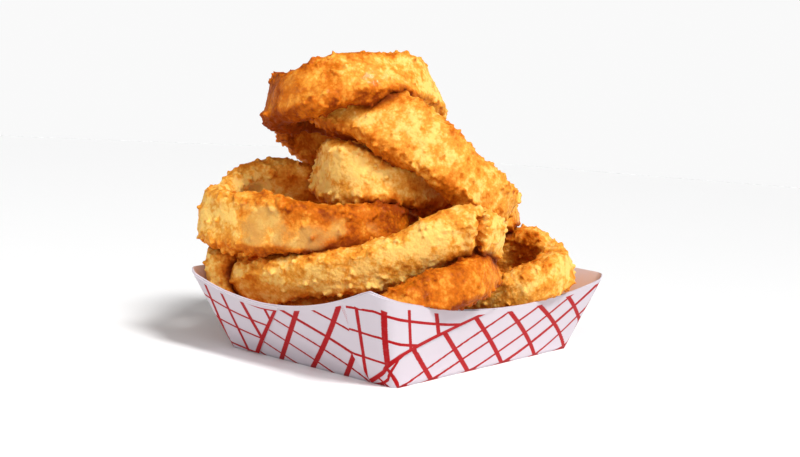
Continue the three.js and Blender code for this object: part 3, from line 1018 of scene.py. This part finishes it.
# How done the batter is where each colour begins to show and where it has taken over from the one before.
DONE = {"gold": (0.0, 0.5), "orange": (0.35, 1.1), "brown": (0.95, 1.8)}
THIN = (0.15, 0.8)  # values of milky between which the onion begins to show and shows most
THIN_COVER = 0.7
THIN_RAGGED = 0.8  # how much fine noise breaks up the edges of the thin patches
CONTACT_SHADE_SPAN = (0.25, 0.9)  # the same for close and the painted contact shade where rings touch
CONTACT_SHADE_COVER = 0.85
FAINT_SEAMS = 4 / 7  # how much fainter the seams are where the batter is thin
GRAIN_WIDTH = 1.3 * MM
WARP_WIDTH, WARP_REACH = 2 * MM, 1.2 * MM  # width of what bends the grains out of round, and how far it does
FINE_SHARE = 0.8  # height of the finest grains as a share of the others'
BATTER_ROUGH = 0.6  # roughness of the batter, which varies in patches and is lower where it's thin
PATCHES_ROUGH, THIN_SMOOTH = 0.3, 0.25
OIL, THIN_OIL = 0.02, 0.5  # weight of the film of oil, and how much more it has where the batter is thin


def batter_material(settings):
    """Fried batter in blotches from cream to brown, grainy, and smooth and glossy where it's thin, with
    painted shade in its hollows and where rings touch.
    """
    paint = Paint("fried batter")
    milk = paint.value("milky")
    close = paint.value("close")
    patches = paint.noise(3 * MM, detail=2.0, shift=4.0) - 0.5
    fine = paint.noise(0.6 * MM, shift=6.0)
    # Grains of about a millimetre, each a dome with a darker seam round it.
    place = paint.node("ShaderNodeTexCoord", output="Object")
    warp = paint.node("ShaderNodeTexNoise", None, {"Vector": place, "Scale": 1 / WARP_WIDTH}, output="Color")
    warp = paint.node("ShaderNodeVectorMath", {"operation": "SCALE"}, {"Vector": warp, "Scale": WARP_REACH})
    moved = paint.node("ShaderNodeVectorMath", {"operation": "ADD"}, {0: place, 1: warp})
    seams = paint.node("ShaderNodeTexVoronoi", None, {"Vector": moved, "Scale": 1 / GRAIN_WIDTH})

    causes = {
        "blotches": paint.noise(8 * MM) - 0.5, "patches": patches, "edge": paint.value("edge"),
        "crest": paint.value("crest"), "milky": milk, "seams": (seams - 0.5) * (1 - milk * FAINT_SEAMS),
        "fine": fine - 0.5, "close": close,
    }
    done = sum((causes[name] * share for name, share in CAUSES.items()), paint.value("browned_and_shaded"))
    colour = tuple(settings.cream)
    for name, reach in DONE.items():
        colour = paint.blend(done.step(*reach), colour, tuple(getattr(settings, name)))
    thin = (milk + (fine - 0.5) * THIN_RAGGED).step(*THIN) * THIN_COVER
    colour = paint.blend(thin, colour, tuple(settings.milk))
    # painted contact shade where rings touch
    colour = paint.blend(close.step(*CONTACT_SHADE_SPAN) * CONTACT_SHADE_COVER, colour, tuple(settings.contact_shade_colour))
    grains = (1 - seams) * (1 - milk * SMOOTH_GRAINS) + fine * FINE_SHARE
    return paint.finish(
        Base_Color=colour,
        Roughness=BATTER_ROUGH - milk * THIN_SMOOTH + patches * PATCHES_ROUGH,
        Coat_Weight=milk * THIN_OIL + OIL,
        Normal=paint.bump(grains, strength=0.6, distance=0.4 * MM),
        Specular_IOR_Level=0.08,
        Subsurface_Weight=0.25,
        Subsurface_Radius=(1.0, 0.35, 0.1),
        Subsurface_Scale=2 * MM,
        Coat_Roughness=0.2,
    )


class ONION_OT_rings(bpy.types.Operator):
    """Fries a crust round every ring"""

    bl_idname = "onion.rings"
    bl_label = "Battered Rings"

    def execute(self, context):
        settings = context.scene.onion_crust
        tray = context.scene.onion_tray
        material = batter_material(settings)
        rings = sorted(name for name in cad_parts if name.startswith("ring_"))
        for index, node in enumerate(rings):
            mesh = crust_mesh(node, settings, tray, FIRST_SEED + SEED_STEP * index)
            mesh.materials.clear()
            mesh.materials.append(material)
            add_piece(f"crust_{node}", mesh, [node])
        return {"FINISHED"}


# ---- The stage ----
class StageSettings(bpy.types.PropertyGroup):
    """The camera, the light and the floor. Azimuths are counted from -Y towards +X."""

    azimuth: angle_setting("Azimuth", "Where the camera stands round the part", HEAP_TURN)
    elevation: angle_setting("Elevation", "How high the camera stands", math.radians(5.3))
    roll: angle_setting("Roll", "How far the camera is turned about its view", math.radians(3.6))
    distance: length_setting("Distance", "From the camera to what it looks at", 488.4 * MM)
    aside: length_setting("Aside", "How far the camera aims to the left of the tray's middle", 6.5 * MM)
    aim_height: length_setting("Aim height", "How high the camera aims", 55.7 * MM)
    lens: bpy.props.FloatProperty(name="Lens", description="Focal length in millimetres", default=47.23)
    key_azimuth: angle_setting("Key azimuth", "Where the main light stands round the part", math.radians(80))
    key_elevation: angle_setting("Key elevation", "How high the main light stands", math.radians(50))
    key_strength: bpy.props.FloatProperty(
        name="Key strength", description="Strength of the main light in watts per square metre", default=2.9)
    fill_power: bpy.props.FloatProperty(
        name="Fill power", description="Power of the soft light from the front", default=2.1, unit="POWER")
    backdrop: colour_setting("Backdrop", "Colour of the floor", (0.95, 0.95, 0.95))


KEY_SPREAD = math.radians(14)  # how wide the main light looks, which softens its shadows
FILL_ELEVATION = math.radians(42)
FILL_SIDE = 0.5  # side of the soft light's square
FLOOR_HALF = 3.0  # half the floor's side


def toward(azimuth, elevation):
    """The direction from the heap to something at that azimuth and elevation."""
    flat = math.cos(elevation)
    return Vector((math.sin(azimuth) * flat, -math.cos(azimuth) * flat, math.sin(elevation)))


def add_camera(stage):
    """A camera that looks at the heap from its front, with its view slightly rolled."""
    back = toward(stage.azimuth, stage.elevation)
    left = Vector((-math.cos(stage.azimuth), -math.sin(stage.azimuth), 0))
    target = left * stage.aside + Vector((0, 0, stage.aim_height))
    right = (-back).cross(Vector((0, 0, 1))).normalized()
    upright = right.cross(-back)
    rolled_right = right * math.cos(stage.roll) + upright * math.sin(stage.roll)
    rolled_up = upright * math.cos(stage.roll) - right * math.sin(stage.roll)
    data = bpy.data.cameras.new("camera")
    data.lens = stage.lens
    data.clip_start = 0.01
    camera = add_object("camera", data)
    axes = Matrix((rolled_right, rolled_up, back)).transposed().to_4x4()
    camera.matrix_world = Matrix.Translation(target + back * stage.distance) @ axes
    bpy.context.scene.camera = camera


def add_lamp(name, kind, azimuth, elevation, strength, spread):
    """A light that looks at the heap from a metre away: spread is a sun's angle or a square lamp's side."""
    data = bpy.data.lights.new(name, kind)
    data.energy = strength
    setattr(data, "angle" if kind == "SUN" else "size", spread)
    back = toward(azimuth, elevation)
    lamp = add_object(name, data)
    lamp.location = back
    lamp.rotation_euler = back.to_track_quat("Z", "Y").to_euler()


def add_floor(stage):
    """A plain pale floor under the tray."""
    corners = [(-1, -1, 0), (1, -1, 0), (1, 1, 0), (-1, 1, 0)]
    mesh = bpy.data.meshes.new("floor")
    mesh.from_pydata([Vector(corner) * FLOOR_HALF for corner in corners], [], [(0, 1, 2, 3)])
    paint = Paint("pale floor")
    grain = paint.noise(40 * MM, detail=2.0)
    finish = {"Base_Color": (*stage.backdrop, 1), "Roughness": 0.8 + grain * 0.1, "Specular_IOR_Level": 0.0}
    mesh.materials.append(paint.finish(**finish))
    floor = add_object("floor", mesh)


def set_world():
    """A pale surround that is dimmer overhead, so that the lamps give the shapes their shade."""
    world = bpy.data.worlds.new("studio")
    world.use_nodes = True
    tree = world.node_tree
    place = tree.nodes.new("ShaderNodeTexCoord")
    parts = tree.nodes.new("ShaderNodeSeparateXYZ")
    tree.links.new(place.outputs["Generated"], parts.inputs["Vector"])
    dim = tree.nodes.new("ShaderNodeMapRange")
    dim.interpolation_type = "SMOOTHSTEP"
    for name, value in {"From Min": 0.12, "From Max": 0.5, "To Min": 0.95, "To Max": 0.2}.items():
        dim.inputs[name].default_value = value
    tree.links.new(parts.outputs["Z"], dim.inputs["Value"])
    background = tree.nodes["Background"]
    background.inputs["Color"].default_value = (1, 1, 1, 1)
    tree.links.new(dim.outputs["Result"], background.inputs["Strength"])
    bpy.context.scene.world = world
    bpy.context.scene.view_settings.view_transform = "Standard"


class ONION_OT_stage(bpy.types.Operator):
    """Sets the camera, the lights and the floor"""

    bl_idname = "onion.stage"
    bl_label = "Stage"

    def execute(self, context):
        stage = context.scene.onion_stage
        add_camera(stage)
        add_floor(stage)
        set_world()
        add_lamp("key", "SUN", stage.key_azimuth, stage.key_elevation, stage.key_strength, KEY_SPREAD)
        add_lamp("front fill", "AREA", stage.azimuth, FILL_ELEVATION, stage.fill_power, FILL_SIDE)
        return {"FINISHED"}


# ---- The add-on ----
class ONION_PT_panel(bpy.types.Panel):
    """Lists what makes the side order, and its settings."""

    bl_idname = "ONION_PT_panel"
    bl_label = "Onion Rings"
    bl_space_type = "VIEW_3D"
    bl_region_type = "UI"
    bl_category = "Onion Rings"

    def draw(self, context):
        for name in OPERATORS:
            self.layout.operator(f"onion.{name}")
        for name in GROUPS:
            settings = getattr(context.scene, name)
            box = self.layout.box()
            for key in settings.__annotations__:
                box.prop(settings, key)


OPERATORS = ("tray", "rings", "stage")
GROUPS = {"onion_tray": TraySettings, "onion_crust": CrustSettings, "onion_stage": StageSettings}
CLASSES = (*GROUPS.values(), ONION_OT_tray, ONION_OT_rings, ONION_OT_stage, ONION_PT_panel)


def register():
    """Makes the add-on's classes and settings known to Blender."""
    for cls in CLASSES:
        bpy.utils.register_class(cls)
    for name, group in GROUPS.items():
        setattr(bpy.types.Scene, name, bpy.props.PointerProperty(type=group))


def unregister():
    """Takes them away again."""
    for name in GROUPS:
        delattr(bpy.types.Scene, name)
    for cls in reversed(CLASSES):
        bpy.utils.unregister_class(cls)


def main():
    """Makes the whole side order on its stage, and keeps its sizes."""
    register()
    for name in OPERATORS:
        getattr(bpy.ops.onion, name)()


if __name__ == "__main__":
    main()
